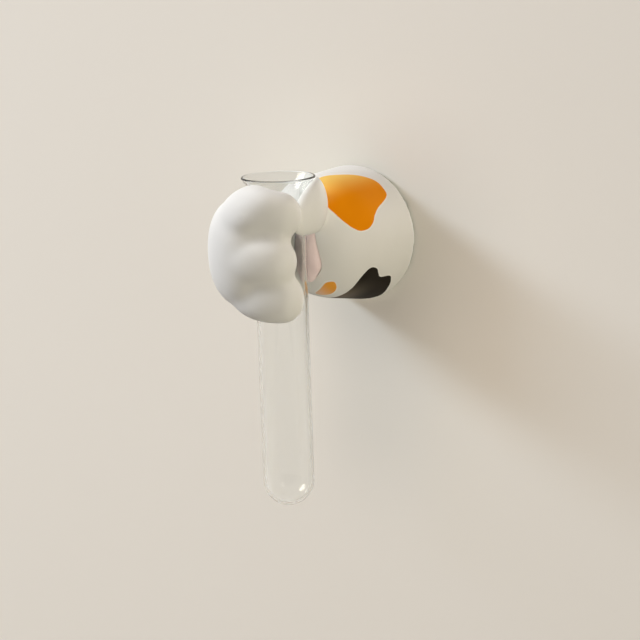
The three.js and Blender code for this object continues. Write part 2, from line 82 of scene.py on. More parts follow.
# Arm and hand, in millimetres and degrees round the tube from straight out towards +X
ARM_Z = -8.0
ARM_BASE_RADIUS = 34.6
ARM_FRONT_RADIUS = 28.3
ARM_RISE = 5.0
ARM_REAR_Y = -1.2
ARM_RINGS = 12
PALM_Y = TUBE_Y + BORE_RADIUS
PALM_ROUND = 26.0
PALM_SQUARENESS = 2.4
PALM_RINGS = 30
HAND = {
    "root": -160.0, "root_height": 0.0, "root_tall": 46.0,
    "knuckles": -15.0, "height": 3.2, "tall": 54.0, "tip_length": 13.0,
}
HAND_SQUARENESS = 2.3
HAND_REACH = 21.4
HAND_CORE = 4.0
HAND_INSIDE = 8.0

# Toes and thumb. A toe's heights are at its root, at the bow and at its tip
GRIP_BITE = 0.6
GRIP_CUT_HEIGHTS = (-80.0, 50.0)
TIP_FLAT = 0.4
TOE_SQUARENESS = 2.2
TOE_ROOT = -70.0
UPPER_TOE = {
    "heights": (12.5, 31.5, 22.5), "root_tall": 20.0, "tip_tall": 23.5,
    "root_thick": 17.0, "tip_thick": 19.5, "knuckle": 2.0,
    "tip": 35.5, "root_tilt": 0.35, "tip_tilt": -0.2,
}
MIDDLE_TOE = {
    "heights": (1.5, 1.0, 1.8), "root_tall": 24.0, "tip_tall": 24.0,
    "root_thick": 21.0, "tip_thick": 22.0, "knuckle": 0.5,
    "tip": 26.5, "root_tilt": 0.0, "tip_tilt": 0.0,
}
LOWER_TOE = {
    "heights": (-8.5, -19.5, -16.4), "root_tall": 16.0, "tip_tall": 24.0,
    "root_thick": 12.5, "tip_thick": 19.0, "knuckle": 0.0,
    "tip": 36.5, "root_tilt": 0.0, "tip_tilt": 0.0,
}
TILT_ANGLES = (-8.0, 30.0)
KNUCKLE_ANGLE = 8.0
KNUCKLE_SPREAD = 24.0
THUMB = {
    "height": 24.0, "tall": 26.0, "thick": 10.5,
    "root": 158.0, "tip": 95.0, "tip_length": 12.0, "lean": 20.0,
}
THUMB_SQUARENESS = 1.75

# Hollow behind the back cover
REAR_WALL = 5.8
REAR_CHAMFER = 0.8
RECESS_RADIUS = ARM_BASE_RADIUS - REAR_WALL
CAVITY_RADIUS = 23.3
LEDGE_Y = -10.0
CAVITY_END_Y = -34.6

# Fineness of the paw's skin, and where its creases are evened out
VOXEL = 0.7
CREASE_FILL = 3.0
SKIN_ROUNDS = 8
CREASE_ROUNDS = 22
RELAX_STEP = 0.5
SOFT_FROM_TUBE = (BORE_RADIUS + 2, BORE_RADIUS + 8)
SOFT_FROM_WALL = (8.0, 20.0)
CRISP_TURN = (-10.0, 40.0)
CRISP_SHARE = 0.6
PAW_SHARP_ANGLE = 38.0

# Silicone pads: degrees round the tube, and millimetres. PAD_BACK_ROUND has shares of the pad's size and
# how far the rounding there falls short of its back
PAD_FACE = TUBE_RADIUS + FIT
PAD_BACK = BORE_RADIUS + 2.4
PAD_CROWN = 0.9
PAD_MIDDLE = 0.06
PAD_EDGE = 0.8
PAD_BACK_ROUND = ((0.97, 0.2), (0.9, 0.0), (0.4, 0.0))
PAD_TOP = FLARE_START - 1.5
PADS = {
    "toe_pad_upper": {"digit": UPPER_TOE, "angle": 8.0, "wide": 13.0, "tall": 9.0},
    "toe_pad_middle": {"digit": MIDDLE_TOE, "angle": 4.0, "wide": 14.0, "tall": 13.0},
    "toe_pad_lower": {"digit": LOWER_TOE, "angle": 8.0, "wide": 13.0, "tall": 11.0},
    "thumb_pad": {"digit": THUMB, "angle": 92.0, "wide": 9.0, "tall": 9.0},
}
PALM_PAD = {"centre": (5.0, -51.5, -9.5), "wide": 14.0, "deep": 11.0, "tall": 29.0}
PALM_PAD_LOBES = 5
PALM_PAD_NOTCH = 0.10
PALM_PAD_NOTCHED = 0.75
PALM_PAD_SQUARENESS = 2.35
PALM_PAD_CROWN = 0.25

# Hanging hardware. CROSS_BLADE has the depth below a screw's top and the half width there
KEYHOLE_SEAT_Y = -5.7
KEYHOLE_SCREW_X = 10.1
KEYHOLE_SCREW_Z = -5.0
KEYHOLE_SCREW_LENGTH = 5.0
COVER_SEAT_Y = -7.2
COVER_SCREW_LENGTH = 9.0
SCREW_RADIUS = 1.2
SCREW_POINT_RADIUS = 0.4
SCREW_HEAD_RADIUS = 2.2
SCREW_HEAD_HEIGHT = 1.1
SCREW_HEAD_SIDE = 0.35
SCREW_HEAD_DOME = 0.9
COVER_SCREW_RADIUS = RECESS_RADIUS - SCREW_HEAD_RADIUS - 2 * FIT
CROSS_BLADE = ((0.7, 0.55), (-0.3, 1.25))
CROSS_HALF_THICK = 0.26
THREAD_PITCH = 0.8
THREAD_DEPTH = 0.22
THREAD_OFF_POINT = 0.6
THREAD_OFF_HEAD = 0.5
BUMPER_RADIUS = 2.2
BUMPER_HEIGHT = 0.9
BUMPER_EDGE = 0.1
BUMPER_DOME = 0.65
BUMPER_FULLNESS = 0.6
FOAM_RADIUS = RECESS_RADIUS + ARM_Z - 4.5
FOAM_THICK = 1.0
FOAM_BULGE = 0.35
FOAM_FLAT = 0.6
EDGE_ROUND = 0.25
METAL_SHARP_ANGLE = 40.0

# Painted patches: degrees round the arm from its top towards +X, and millimetres out from the wall.
# Degrees are counted on from PATCH_SEAM, on the arm's bare side
ORANGE_PATCH = [
    (4, 37), (12, 26.5), (18, 19.5), (27, 13.7), (35, 11), (43.5, 11.2), (49, 12), (52.5, 14.3),
    (56.5, 19), (60.5, 24), (66, 28.3), (73, 31.7), (78, 35.7), (79, 39.8), (76, 42.6), (70.5, 44.8),
    (57.5, 47), (42, 48), (24, 48.5), (8, 45),
]
BLACK_PATCH = [
    (115, 30.5), (117, 26.8), (122, 24), (126, 20.8), (125, 14), (130.5, 10.2), (144, 6), (157, 2.5),
    (170, 3.5), (185, 9), (200, 18), (198, 27), (182, 31.5), (166, 33), (140, 34.8), (127, 35.2),
    (118, 33.3),
]
SMALL_PATCH = [
    (145, 45.2), (147, 42.8), (157, 39.6), (168, 38.5), (178, 39.5), (177, 41.8), (163, 45), (153, 46.3),
]
PATCH_RADIUS = 33.0
PATCH_SEAM = -100.0
BARE_GRIP = BORE_RADIUS + 2
BARE_DEPTH = -50.0
# Painted sheen: the orange is paler along the top of the arm and over the small patch, where the light
# catches it
TOP_SHEEN_ANGLES = (6.0, 44.0)
SMALL_PATCH_SHEEN = 0.3
SMALL_PATCH_SHEEN_ANGLE = 130.0
# Painted sheen: the small orange patch and the black patch are mixed towards a lighter colour near their
# lower edges, where they are seen at a grazing angle
SMALL_LOW_SHEEN = 0.55
SMALL_LOW_SHEEN_ANGLES = (152.0, 182.0)
SMALL_LOW_SHEEN_REACH = (36.0, 38.0)
BLACK_LOW_SHEEN = 0.23
BLACK_LOW_SHEEN_ANGLES = (126.0, 168.0)
BLACK_LOW_SHEEN_REACH = (14.0, 35.0)

# The paint's edge, in millimetres into the patch, and the relief of its coat
EDGE_WAVER = 0.25
HALO_EDGE = (-0.9, -0.3)
COVER_EDGE = (-0.15, 0.15)
COAT_EDGE = (-0.3, 0.3)
COAT_THICK = 0.06
RESIN_GRAIN = 0.02

# Stage: the wall that the vase hangs on, and a floor far below it
WALL_Y = 0.3
FLOOR_Z = -700.0
STAGE_X = (-2500.0, 2500.0)
WALL_Z = (FLOOR_Z, 1500.0)
FLOOR_Y = (-3500.0, 1500.0)
FLOOR_GLOW = 0.42

# Studio: azimuths are 0 straight out from the wall and 90 at +X, and the camera's lens is in millimetres
TARGET = Vector((2.61, -40.5, -45.43)) * MM
KEY_DIRECTION = (-66.0, 33.0)
AMBIENT = 0.14
AMBIENT_COLOUR = (0.96, 0.84, 1.0)
BACKDROP = 0.95
BACKDROP_COLOUR = (0.78, 0.745, 0.68)
ROOM_SHADE = 0.2
ROOM_SIDE = (0.56, -0.82, 0.0)
ROOM_EDGE = (0.55, 0.85)
SOFTBOX = 9.0
SOFTBOX_EDGE = (math.cos(math.radians(17)), math.cos(math.radians(13)))
CAMERA_AZIMUTH = 34.5
CAMERA_ELEVATION = 12.85
CAMERA_ROLL = -1.8
CAMERA_DISTANCE = 0.890
CAMERA_LENS = 101.25
CAMERA_SENSOR = 36.0
CAMERA_CLIP = (0.02, 20.0)


# Meshes

def mesh_object(name, points, faces, smooth=True):
    """A linked object from points in millimetres."""
    mesh = bpy.data.meshes.new(name)
    mesh.from_pydata((np.asarray(points, float) * MM).tolist(), [], faces)
    mesh.validate()
    mesh.update()
    made = bpy.data.objects.new(name, mesh)
    bpy.context.scene.collection.objects.link(made)
    if smooth:
        mesh.shade_smooth()
    else:
        mesh.shade_flat()
    return made


def applied(obj):
    """Turns the object's modifiers into its mesh."""
    depsgraph = bpy.context.evaluated_depsgraph_get()
    made = bpy.data.meshes.new_from_object(obj.evaluated_get(depsgraph))
    obj.modifiers.clear()
    old = obj.data
    obj.data = made
    made.name = obj.name
    bpy.data.meshes.remove(old)


def cut(obj, cutter):
    """Subtracts a closed cutter from a closed object."""
    step = obj.modifiers.new("cut", "BOOLEAN")
    step.operation = "DIFFERENCE"
    step.solver = "MANIFOLD"
    step.object = cutter
    bpy.context.view_layer.update()
    applied(obj)
    bpy.data.objects.remove(cutter)


def outward(obj):
    """Turns all faces of a closed mesh outwards."""
    work = bmesh.new()
    work.from_mesh(obj.data)
    bmesh.ops.recalc_face_normals(work, faces=work.faces)
    work.to_mesh(obj.data)
    work.free()
    return obj


def sharpened(obj, angle):
    """Smooth shading, apart from edges that turn by more than the angle."""
    obj.data.shade_smooth()
    obj.data.set_sharp_from_angle(angle=math.radians(angle))


def coordinates(mesh):
    """The mesh's points in millimetres."""
    points = np.zeros(len(mesh.vertices) * 3)
    mesh.vertices.foreach_get("co", points)
    return points.reshape(-1, 3) / MM


def set_points(mesh, points):
    mesh.vertices.foreach_set("co", (points * MM).ravel())
    mesh.update()


def mesh_edges(mesh):
    edges = np.zeros(len(mesh.edges) * 2, int)
    mesh.edges.foreach_get("vertices", edges)
    return edges.reshape(-1, 2)


def body_of(mesh):
    """Points and faces of a mesh."""
    return coordinates(mesh), [tuple(f.vertices) for f in mesh.polygons]


def joined(bodies):
    """Points and faces of several bodies as one."""
    points, faces, start = [], [], 0
    for body_points, body_faces in bodies:
        points.append(body_points)
        faces += [tuple(i + start for i in face) for face in body_faces]
        start += len(body_points)
    return np.concatenate(points), faces


def reskinned(obj):
    """Replaces overlapping bodies by one even skin over them."""
    step = obj.modifiers.new("skin", "REMESH")
    step.mode = "VOXEL"
    step.voxel_size = VOXEL * MM
    applied(obj)


def grown(mesh, distance):
    """Moves the skin outwards, or inwards for a negative distance."""
    normals = np.zeros(len(mesh.vertices) * 3)
    mesh.vertex_normals.foreach_get("vector", normals)
    set_points(mesh, coordinates(mesh) + distance * normals.reshape(-1, 3))


def relaxed(points, edges, amount, rounds):
    """Evens out the points over the mesh, each by its own amount from 0 to 1."""
    a, b = edges[:, 0], edges[:, 1]
    count = len(points)
    near = np.bincount(a, minlength=count) + np.bincount(b, minlength=count)
    for _ in range(rounds):
        mean = np.empty_like(points)
        for k in range(3):
            total = np.bincount(a, points[b, k], count) + np.bincount(b, points[a, k], count)
            mean[:, k] = total / np.maximum(near, 1)
        points = points + RELAX_STEP * amount[:, None] * (mean - points)
    return points


# Curves and shapes made of rings

def smooth_ramp(value, low, high):
    t = np.clip((value - low) / (high - low), 0, 1)
    return t * t * (3 - 2 * t)


def full_turn(sides):
    return np.linspace(0, 2 * math.pi, sides, endpoint=False)


def quarter_turn(steps):
    """Angles from 0 up to the last step before a right angle."""
    return np.linspace(0, math.pi / 2, steps, endpoint=False)


def superellipse(angle, squareness):
    power = 2 / squareness
    c, s = np.cos(angle), np.sin(angle)
    return np.sign(c) * np.abs(c) ** power, np.sign(s) * np.abs(s) ** power


def oblong(u, v):
    """The corners of an oblong in order, from its two ranges."""
    return [(u[0], v[0]), (u[1], v[0]), (u[1], v[1]), (u[0], v[1])]


def ring_faces(count, sides):
    return [
        (r * sides + s, r * sides + (s + 1) % sides, (r + 1) * sides + (s + 1) % sides, (r + 1) * sides + s)
        for r in range(count - 1)
        for s in range(sides)
    ]


def loft(rings):
    """Points and faces of a closed skin over rings of equal length."""
    sides = len(rings[0])
    faces = ring_faces(len(rings), sides)
    faces.append(tuple(reversed(range(sides))))
    faces.append(tuple((len(rings) - 1) * sides + s for s in range(sides)))
    return np.concatenate(rings), faces


def turned(outline, sides):
    """A closed body turned about Z. Its outline, of radius and height, starts and ends on the axis."""
    turn = full_turn(sides)
    rings = []
    for radius, height in outline[1:-1]:
        level = np.full(sides, float(height))
        rings.append(np.stack([radius * np.cos(turn), radius * np.sin(turn), level], -1))
    points = np.concatenate([*rings, [[0, 0, outline[0][1]], [0, 0, outline[-1][1]]]])
    faces = ring_faces(len(rings), sides)
    first, last = len(points) - 2, len(points) - 1
    top = (len(rings) - 1) * sides
    for s in range(sides):
        faces.append((first, (s + 1) % sides, s))
        faces.append((last, top + s, top + (s + 1) % sides))
    return points, faces


def along_wall_axis(points, x, z):
    """Stands a turned body on the wall's axis: its height becomes y."""
    points = np.asarray(points, float)
    return np.stack([points[:, 0] + x, points[:, 2], -points[:, 1] + z], -1)


def on_tube(points):
    return np.asarray(points, float) + [0, TUBE_Y, 0]


# Glass

def flare_radius(z):
    climb = np.clip((z - FLARE_START) / (LIP_HEIGHT - FLARE_START), 0, 1)
    return TUBE_RADIUS + (RIM_RADIUS - TUBE_RADIUS) * climb ** FLARE_CURVE


def glass_side(offset, steps=18, straight_rings=8):
    """Radius and height from the middle of the round bottom up to the lip."""
    radius = TUBE_RADIUS + offset
    centre = TUBE_BOTTOM + TUBE_RADIUS
    outline = []
    for i in range(steps + 1):
        lean = math.pi / 2 * i / steps
        outline.append((radius * math.sin(lean), centre - radius * math.cos(lean)))
    for z in np.linspace(centre + STRAIGHT_ABOVE_BOTTOM, FLARE_START - STRAIGHT_BELOW_FLARE, straight_rings):
        outline.append((radius, z))
    for z in np.linspace(FLARE_START, LIP_HEIGHT, steps):
        outline.append((flare_radius(z) + offset, z))
    return outline


def glass_tube(bead_steps=9):
    half = TUBE_WALL / 2
    bead = []
    for lean in np.linspace(0, math.pi, bead_steps)[1:-1]:
        bead.append((RIM_RADIUS - half + half * math.cos(lean), LIP_HEIGHT + half * math.sin(lean)))
    outline = glass_side(0) + bead + glass_side(-TUBE_WALL)[::-1]
    points, faces = turned(outline, sides=128)
    return mesh_object("glass_vase", on_tube(points), faces)


# Paw

def arm_share(y):
    return (ARM_REAR_Y - y) / (ARM_REAR_Y - PALM_Y)


def arm_axis(y):
    return ARM_Z + ARM_RISE * arm_share(y)


def arm_ring(y, narrow, sides=120):
    radius = (ARM_BASE_RADIUS + (ARM_FRONT_RADIUS - ARM_BASE_RADIUS) * arm_share(y)) * narrow
    turn = full_turn(sides)
    return np.stack([radius * np.cos(turn), np.full(sides, y), arm_axis(y) + radius * np.sin(turn)], -1)


def arm():
    start = PALM_Y + PALM_ROUND
    rings = [arm_ring(y, 1) for y in np.linspace(ARM_REAR_Y, start, ARM_RINGS, endpoint=False)]
    for i in range(PALM_RINGS):
        narrow, along = superellipse(math.pi / 2 * i / PALM_RINGS, PALM_SQUARENESS)
        rings.append(arm_ring(start - PALM_ROUND * along, narrow))
    return loft(rings)


def curl_ring(angle, section, share, lean=0.0, sides=64):
    curl, inward, outward_reach, height, tall, squareness, tilt = section
    across, up = superellipse(full_turn(sides), squareness)
    turn = np.radians(angle + lean * share * up)
    radius = curl + share * (across * np.where(across > 0, outward_reach, inward) - tilt * up * tall / 2)
    z = ARM_Z + height + share * up * tall / 2
    return np.stack([radius * np.sin(turn), TUBE_Y - radius * np.cos(turn), z], -1)


def curled_body(section_at, root, tip, tip_length, lean=0.0, steps=40, tip_steps=20):
    """A body that curls round the tube from a flat root to a round tip."""
    direction_round = math.copysign(1, tip - root)
    rings = [curl_ring(a, section_at(a), 1, lean) for a in np.linspace(root, tip, steps + 1)]
    end = section_at(tip)
    for i in range(1, tip_steps + 1):
        round_off = math.pi / 2 * i / (tip_steps + TIP_FLAT)
        forward = math.degrees(tip_length * math.sin(round_off) / end[0])
        rings.append(curl_ring(tip + direction_round * forward, end, math.cos(round_off), lean))
    return loft(rings)


def hand():
    core = BORE_RADIUS + HAND_CORE
    reach = HAND_REACH - HAND_CORE

    def section_at(angle):
        share = smooth_ramp(angle, HAND["root"], HAND["knuckles"])
        height = HAND["root_height"] + (HAND["height"] - HAND["root_height"]) * share
        tall = HAND["root_tall"] + (HAND["tall"] - HAND["root_tall"]) * share
        return core, HAND_INSIDE, reach, height, tall, HAND_SQUARENESS, 0.0

    return curled_body(section_at, HAND["root"], HAND["knuckles"], HAND["tip_length"])


def grip_section(height, tall, thick, squareness, tilt=0.0):
    return BORE_RADIUS - GRIP_BITE + thick / 2, thick / 2, thick / 2, height, tall, squareness, tilt


def toe_share(shape, angle):
    return (angle - TOE_ROOT) / (shape["tip"] - TOE_ROOT)


def toe_height(shape, angle):
    """A toe leaves the knuckles at its root height and bows up or down on its way to the tip."""
    root, bow, tip = shape["heights"]
    t = toe_share(shape, angle)
    return (1 - t) ** 2 * root + 2 * t * (1 - t) * bow + t * t * tip


def toe(shape):
    def section_at(angle):
        t = toe_share(shape, angle)
        tall = shape["root_tall"] + (shape["tip_tall"] - shape["root_tall"]) * t
        thick = shape["root_thick"] + (shape["tip_thick"] - shape["root_thick"]) * t
        thick += shape["knuckle"] * math.exp(-((angle - KNUCKLE_ANGLE) / KNUCKLE_SPREAD) ** 2)
        tilted = smooth_ramp(angle, *TILT_ANGLES)
        tilt = shape["root_tilt"] + (shape["tip_tilt"] - shape["root_tilt"]) * tilted
        return grip_section(toe_height(shape, angle), tall, thick, TOE_SQUARENESS, tilt)

    return curled_body(section_at, TOE_ROOT, shape["tip"], shape["tip_thick"] / 2)


def thumb():
    section = grip_section(THUMB["height"], THUMB["tall"], THUMB["thick"], THUMB_SQUARENESS)

    def section_at(angle):
        return section

    return curled_body(section_at, THUMB["root"], THUMB["tip"], THUMB["tip_length"], THUMB["lean"])


def grip_cutter(seat_steps=14):
    bottom, top = GRIP_CUT_HEIGHTS
    seat = []
    for z in np.linspace(FLARE_START, LIP_HEIGHT, seat_steps):
        seat.append((max(BORE_RADIUS, flare_radius(z) + FIT), z))
    outline = [(0, bottom), (BORE_RADIUS, bottom), *seat, (RIM_RADIUS + FIT, top), (0, top)]
    points, faces = turned(outline, sides=128)
    return mesh_object("grip_cutter", on_tube(points), faces)


def back_cutter():
    opening_y = ARM_REAR_Y + REAR_CHAMFER
    outline = [
        (0, CAVITY_END_Y),
        (CAVITY_RADIUS, CAVITY_END_Y),
        (CAVITY_RADIUS, LEDGE_Y),
        (RECESS_RADIUS, LEDGE_Y),
        (RECESS_RADIUS, ARM_REAR_Y - REAR_CHAMFER),
        (RECESS_RADIUS + 2 * REAR_CHAMFER, opening_y),
        (0, opening_y),
    ]
    points, faces = turned(outline, sides=128)
    return mesh_object("back_cutter", along_wall_axis(points, 0, ARM_Z), faces)


def paw_casting():
    mitten = mesh_object("mitten", *joined([arm(), hand(), *map(toe, (UPPER_TOE, MIDDLE_TOE, LOWER_TOE))]))
    reskinned(mitten)
    grown(mitten.data, CREASE_FILL)
    reskinned(mitten)
    grown(mitten.data, -CREASE_FILL)
    paw = mesh_object("paw_resin", *joined([body_of(mitten.data), thumb()]))
    bpy.data.objects.remove(mitten)
    reskinned(paw)
    edges = mesh_edges(paw.data)
    skin = coordinates(paw.data)
    skin = relaxed(skin, edges, np.ones(len(skin)), SKIN_ROUNDS)
    turn = np.degrees(np.arctan2(skin[:, 0], TUBE_Y - skin[:, 1]))
    from_tube = np.hypot(skin[:, 0], skin[:, 1] - TUBE_Y)
    soft = smooth_ramp(from_tube, *SOFT_FROM_TUBE) * smooth_ramp(-skin[:, 1], *SOFT_FROM_WALL)
    soft *= 1 - CRISP_SHARE * smooth_ramp(turn, *CRISP_TURN)
    skin = relaxed(skin, edges, soft, CREASE_ROUNDS)
    set_points(paw.data, np.clip(skin, np.array(cad_low) / MM, np.array(cad_high) / MM))
    cut(paw, grip_cutter())
    for name in PADS:
        cut(paw, digit_pad(name, FIT))
    cut(paw, palm_pad(FIT))
    cut(paw, back_cutter())
    sharpened(paw, PAW_SHARP_ANGLE)
    paint_patches(paw.data)
    return paw


# Painted patches

def closed_curve(points, steps=10):
    """A smooth closed curve through the points."""
    p = np.asarray(points, float)
    before, after, beyond = np.roll(p, 1, 0), np.roll(p, -1, 0), np.roll(p, -2, 0)
    t = (np.arange(steps) / steps)[None, :, None]
    p0, p1, p2, p3 = before[:, None], p[:, None], after[:, None], beyond[:, None]
    bend = 2 * p0 - 5 * p1 + 4 * p2 - p3
    twist = 3 * p1 - p0 - 3 * p2 + p3
    curve = 0.5 * (2 * p1 + (p2 - p0) * t + bend * t ** 2 + twist * t ** 3)
    return curve.reshape(-1, 2)


def depth_inside(places, outline, tiny=1e-9):
    """How far each place is inside a closed curve, negative outside, in millimetres."""
    a = closed_curve(outline) * [math.radians(PATCH_RADIUS), 1]
    b = np.roll(a, -1, 0)
    nearest = np.full(len(places), np.inf)
    inside = np.zeros(len(places), bool)
    for (ax, ay), (bx, by) in zip(a, b):
        dx, dy = bx - ax, by - ay
        px, py = places[:, 0] - ax, places[:, 1] - ay
        t = np.clip((px * dx + py * dy) / max(dx * dx + dy * dy, tiny), 0, 1)
        nearest = np.minimum(nearest, np.hypot(px - t * dx, py - t * dy))
        crosses = (ay > places[:, 1]) != (by > places[:, 1])
        if abs(dy) > tiny:
            inside ^= crosses & (px < dx * py / dy)
    return np.where(inside, nearest, -nearest)


def paint_patches(mesh):
    """Stores how deep each point lies in the patches, and where a painted sheen lightens them."""
    points = coordinates(mesh)
    angle = np.degrees(np.arctan2(points[:, 0], points[:, 2] - arm_axis(points[:, 1])))
    angle = np.where(angle < PATCH_SEAM, angle + 360, angle)
    reach = -points[:, 1]
    places = np.stack([np.radians(angle) * PATCH_RADIUS, reach], -1)
    bare = np.hypot(points[:, 0], points[:, 1] - TUBE_Y) < BARE_GRIP
    orange = np.maximum(depth_inside(places, ORANGE_PATCH), depth_inside(places, SMALL_PATCH))
    values = {
        "orange_depth": np.where(bare, BARE_DEPTH, orange),
        "black_depth": np.where(bare, BARE_DEPTH, depth_inside(places, BLACK_PATCH)),
        "orange_fade": smooth_ramp(angle, *SMALL_LOW_SHEEN_ANGLES) * smooth_ramp(reach, *SMALL_LOW_SHEEN_REACH),
        "black_fade": smooth_ramp(angle, *BLACK_LOW_SHEEN_ANGLES) * smooth_ramp(reach, *BLACK_LOW_SHEEN_REACH),
        "orange_top_sheen": 1 - smooth_ramp(angle, *TOP_SHEEN_ANGLES) + SMALL_PATCH_SHEEN * (angle > SMALL_PATCH_SHEEN_ANGLE),
    }
    for name, value in values.items():
        kept = mesh.attributes.new(name, "FLOAT", "POINT")
        kept.data.foreach_set("value", value.astype(np.float32))


# Silicone pads

def digit_pad(name, grow=0.0, sides=48, face_rings=9):
    """A cushion in a toe or the thumb: a crowned face towards the glass, and a back with a round edge."""
    pad = PADS[name]
    digit = pad["digit"]
    middle = toe_height(digit, pad["angle"]) if "heights" in digit else digit["height"]
    z = min(ARM_Z + middle, PAD_TOP - pad["tall"] / 2)
    shares = np.linspace(PAD_MIDDLE, 1, face_rings)
    outline = [(share, PAD_FACE - grow + PAD_CROWN * share ** 3) for share in shares]
    outline.append((1.0, PAD_BACK - PAD_EDGE))
    outline += [(share, PAD_BACK - rounding + grow) for share, rounding in PAD_BACK_ROUND]
    turn = full_turn(sides)
    a = math.radians(pad["angle"])
    rings = []
    for share, radius in outline:
        across = share * (pad["wide"] / 2 + grow) * np.cos(turn)
        up = share * (pad["tall"] / 2 + grow) * np.sin(turn)
        out = np.sqrt(radius ** 2 - across ** 2)
        x = out * math.sin(a) + across * math.cos(a)
        y = TUBE_Y - out * math.cos(a) + across * math.sin(a)
        rings.append(np.stack([x, y, z + up], -1))
    return outward(mesh_object(name + "_cushion", *loft(rings)))


def palm_pad(grow=0.0, sides=120, steps=16):
    """The large pad in the palm: a lobed cushion whose front is hollowed to the glass."""
    cx, cy, cz = PALM_PAD["centre"]
    turn = full_turn(sides)
    wide, tall = superellipse(turn, PALM_PAD_SQUARENESS)
    notch = 0.5 + 0.5 * np.cos(PALM_PAD_LOBES * (turn + math.pi / 2) + math.pi)
    lobed = 1 - PALM_PAD_NOTCH * notch
    rings = []
    for side in np.linspace(-1, 1, 2 * steps + 1)[1:-1]:
        lean = side * math.pi / 2
        share = np.cos(lean) * (lobed if abs(side) < PALM_PAD_NOTCHED else lobed ** 0.5)
        x = cx + share * (PALM_PAD["wide"] / 2 + grow) * wide
        z = cz + share * (PALM_PAD["tall"] / 2 + grow) * tall
        y = np.full(sides, cy + (PALM_PAD["deep"] / 2 + grow) * math.sin(lean))
        glass = TUBE_Y + np.sqrt(np.maximum((PAD_FACE - grow) ** 2 - x ** 2, 0))
        crown = PALM_PAD_CROWN * np.hypot((x - cx) / PALM_PAD["wide"], (z - cz) / PALM_PAD["tall"])
        rings.append(np.stack([x, np.maximum(y, glass + crown), z], -1))
    return outward(mesh_object("palm_pad_cushion", *loft(rings)))


# Hanging hardware

def at_arm_end(count, radius, start):
    """Places round the arm's wall end, in x and z."""
    turns = [math.radians(start + 360 * i / count) for i in range(count)]
    return [(radius * math.cos(t), ARM_Z + radius * math.sin(t)) for t in turns]


def cross_blades(x, y, z):
    """Two crossed cutters that taper towards their point."""
    thick = (-CROSS_HALF_THICK, CROSS_HALF_THICK)
    blades = []
    for turn in (0, math.pi / 2):
        c, s = math.cos(turn), math.sin(turn)
        rings = []
        for depth, half in CROSS_BLADE:
            corners = oblong((-half, half), thick)
            rings.append(np.array([(x + u * c - v * s, y - depth, z + u * s + v * c) for u, v in corners]))
        blades.append(outward(mesh_object("cross_cutter", *loft(rings), smooth=False)))
    return blades


def screw(name, place, seat_y, length):
    """A pan-head screw with a domed head, a cross recess and a ridged shank."""
    x, z = place
    point_y = seat_y - length
    head_y = seat_y + FIT
    top_y = head_y + SCREW_HEAD_HEIGHT
    outline = [(0, point_y), (SCREW_POINT_RADIUS, point_y)]
    for ridge in np.arange(point_y + THREAD_OFF_POINT, seat_y - THREAD_OFF_HEAD, THREAD_PITCH):
        outline.append((SCREW_RADIUS - THREAD_DEPTH, ridge))
        outline.append((SCREW_RADIUS, ridge + THREAD_PITCH / 2))
    outline += [(SCREW_RADIUS, seat_y), (SCREW_RADIUS, head_y), (SCREW_HEAD_RADIUS, head_y)]
    for lean in quarter_turn(6):
        rise = SCREW_HEAD_SIDE + (1 - SCREW_HEAD_SIDE) * math.sin(lean)
        radius = SCREW_HEAD_RADIUS - SCREW_HEAD_DOME * (1 - math.cos(lean))
        outline.append((radius, head_y + SCREW_HEAD_HEIGHT * rise))
    outline.append((0, top_y))
    points, faces = turned(outline, sides=32)
    made = outward(mesh_object(name + "_pan_head", along_wall_axis(points, x, z), faces))
    for blade in cross_blades(x, top_y, z):
        cut(made, blade)
    sharpened(made, METAL_SHARP_ANGLE)
    return made


def bumper(name, place):
    """A soft dot with a domed wall side."""
    outline = [
        (0, -BUMPER_HEIGHT),
        (BUMPER_RADIUS - BUMPER_EDGE, -BUMPER_HEIGHT),
        (BUMPER_RADIUS, -BUMPER_HEIGHT + BUMPER_EDGE),
    ]
    for lean in quarter_turn(8):
        radius = BUMPER_RADIUS * math.cos(lean) ** BUMPER_FULLNESS
        outline.append((radius, -BUMPER_DOME + BUMPER_DOME * math.sin(lean)))
    outline.append((0, 0))
    points, faces = turned(outline, sides=40)
    return outward(mesh_object(name + "_dot", along_wall_axis(points, *place), faces))


def foam_disc(edge_steps=9):
    """The foam tape behind the wall plate, its cut edge bulging a little."""
    flat = FOAM_RADIUS * FOAM_FLAT
    outline = [(0, -FOAM_THICK), (flat, -FOAM_THICK)]
    for lean in np.linspace(-math.pi / 2, math.pi / 2, edge_steps):
        radius = FOAM_RADIUS - FOAM_BULGE + FOAM_BULGE * math.cos(lean)
        outline.append((radius, FOAM_THICK / 2 * (math.sin(lean) - 1)))
    outline += [(flat, 0), (0, 0)]
    points, faces = turned(outline, sides=96)
    return outward(mesh_object("adhesive_pad_foam", along_wall_axis(points, 0, 0), faces))


# Shader nodes

def new_material(name):
    made = bpy.data.materials.new(name)
    made.use_nodes = True
    tree = made.node_tree
    return made, tree, tree.nodes["Principled BSDF"]


def node(tree, kind, **values):
    """A new node. A value sets the property of that name, or else the input socket of that name."""
    made = tree.nodes.new(kind)
    for name, value in values.items():
        if hasattr(made, name):
            setattr(made, name, value)
        else:
            made.inputs[name.replace("_", " ").title()].default_value = value
    return made


def object_place(tree, stretch=(1, 1, 1)):
    place = tree.nodes.new("ShaderNodeTexCoord")
    mapping = node(tree, "ShaderNodeMapping", scale=stretch)
    tree.links.new(place.outputs["Object"], mapping.inputs["Vector"])
    return mapping.outputs["Vector"]


def light_path(tree):
    return tree.nodes.new("ShaderNodeLightPath").outputs


def noise(tree, place, scale, detail=3.0):
    made = node(tree, "ShaderNodeTexNoise", scale=scale, detail=detail)
    tree.links.new(place, made.inputs["Vector"])
    return made.outputs["Fac"]


def spread(tree, value, low, high, start=0.0, end=1.0):
    """Maps a value from start..end to low..high."""
    made = node(tree, "ShaderNodeMapRange", from_min=start, from_max=end, to_min=low, to_max=high)
    tree.links.new(value, made.inputs["Value"])
    return made.outputs["Result"]


